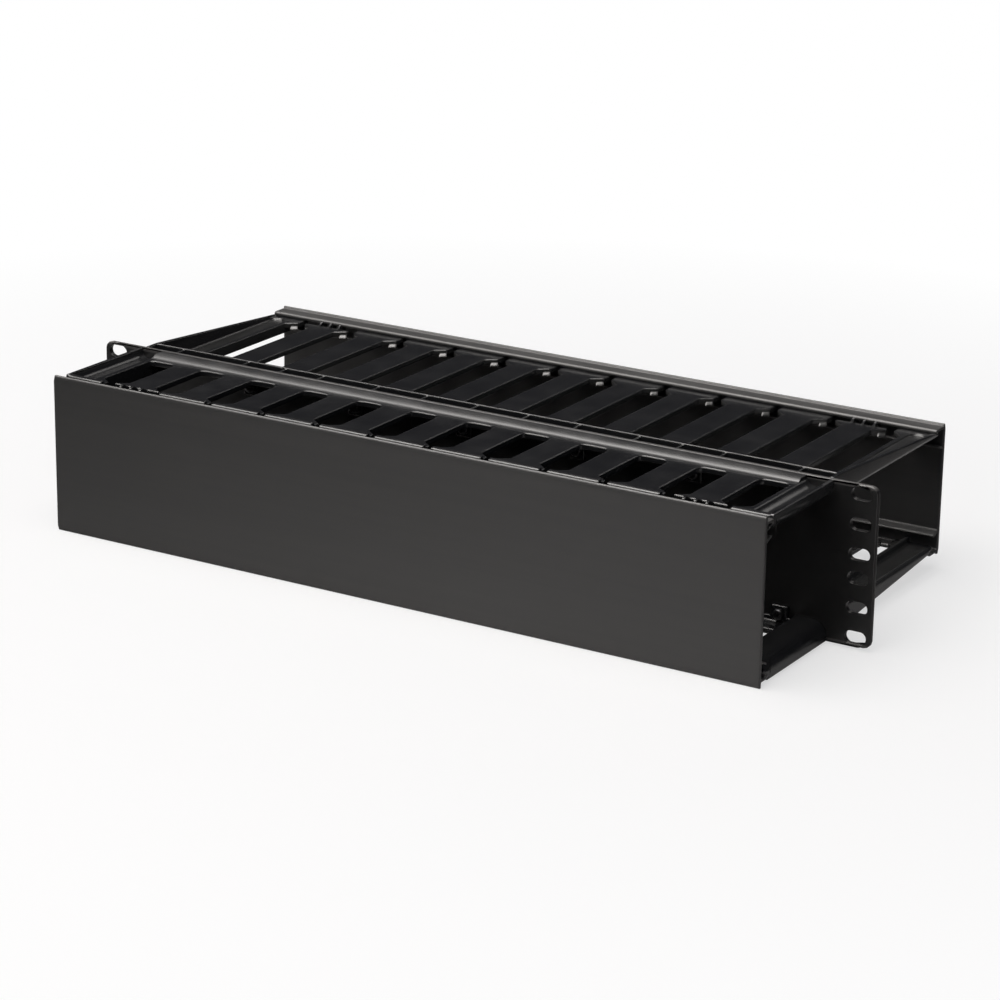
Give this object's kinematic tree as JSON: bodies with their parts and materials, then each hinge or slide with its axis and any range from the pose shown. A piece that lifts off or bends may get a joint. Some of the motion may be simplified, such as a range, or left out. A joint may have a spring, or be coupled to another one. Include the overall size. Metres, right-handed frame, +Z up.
{
  "type": "horizontal cable manager",
  "caption": "Rack-mount horizontal cable manager: a slotted-finger duct on both sides of an eared mounting plate, each closed by a hinged clip-on cover",
  "frame": {"origin": "middle of the mounting plate's rear face, which seats on the rack rails, midway between the outer rack slots", "axes": "+X to the right seen from the front, +Y from the front cover to the rear cover, +Z up"},
  "size_m": [0.4826, 0.2172, 0.0888],
  "materials": {
    "plate_coating": "black powder coat",
    "duct_plastic": "satin black moulding",
    "cover_plastic": "charcoal satin extrusion",
    "screw_steel": "black zinc"
  },
  "bodies": {
    "frame": {"mounting_plate": "plate_coating", "front_upper_finger_row": "duct_plastic", "front_lower_finger_row": "duct_plastic", "rear_upper_finger_row": "duct_plastic", "rear_lower_finger_row": "duct_plastic", "upper_row_screw_1": "screw_steel", "upper_row_screw_2": "screw_steel", "upper_row_screw_3": "screw_steel", "upper_row_screw_4": "screw_steel", "upper_row_screw_5": "screw_steel", "upper_row_screw_6": "screw_steel", "upper_row_screw_7": "screw_steel", "lower_row_screw_1": "screw_steel", "lower_row_screw_2": "screw_steel", "lower_row_screw_3": "screw_steel", "lower_row_screw_4": "screw_steel", "lower_row_screw_5": "screw_steel", "lower_row_screw_6": "screw_steel", "lower_row_screw_7": "screw_steel"},
    "front_cover": {"front_cover": "cover_plastic"},
    "rear_cover": {"rear_cover": "cover_plastic"}
  },
  "joints": [
    {"name": "front_cover_hinge", "type": "hinge", "parent": "frame", "child": "front_cover", "pos_m": [0, -0.0716, 0.0403], "axis": [-1, 0, 0], "range_deg": [0, 100]},
    {"name": "rear_cover_hinge", "type": "hinge", "parent": "frame", "child": "rear_cover", "pos_m": [0, 0.12695, 0.0344], "axis": [1, 0, 0], "range_deg": [0, 100]}
  ]
}
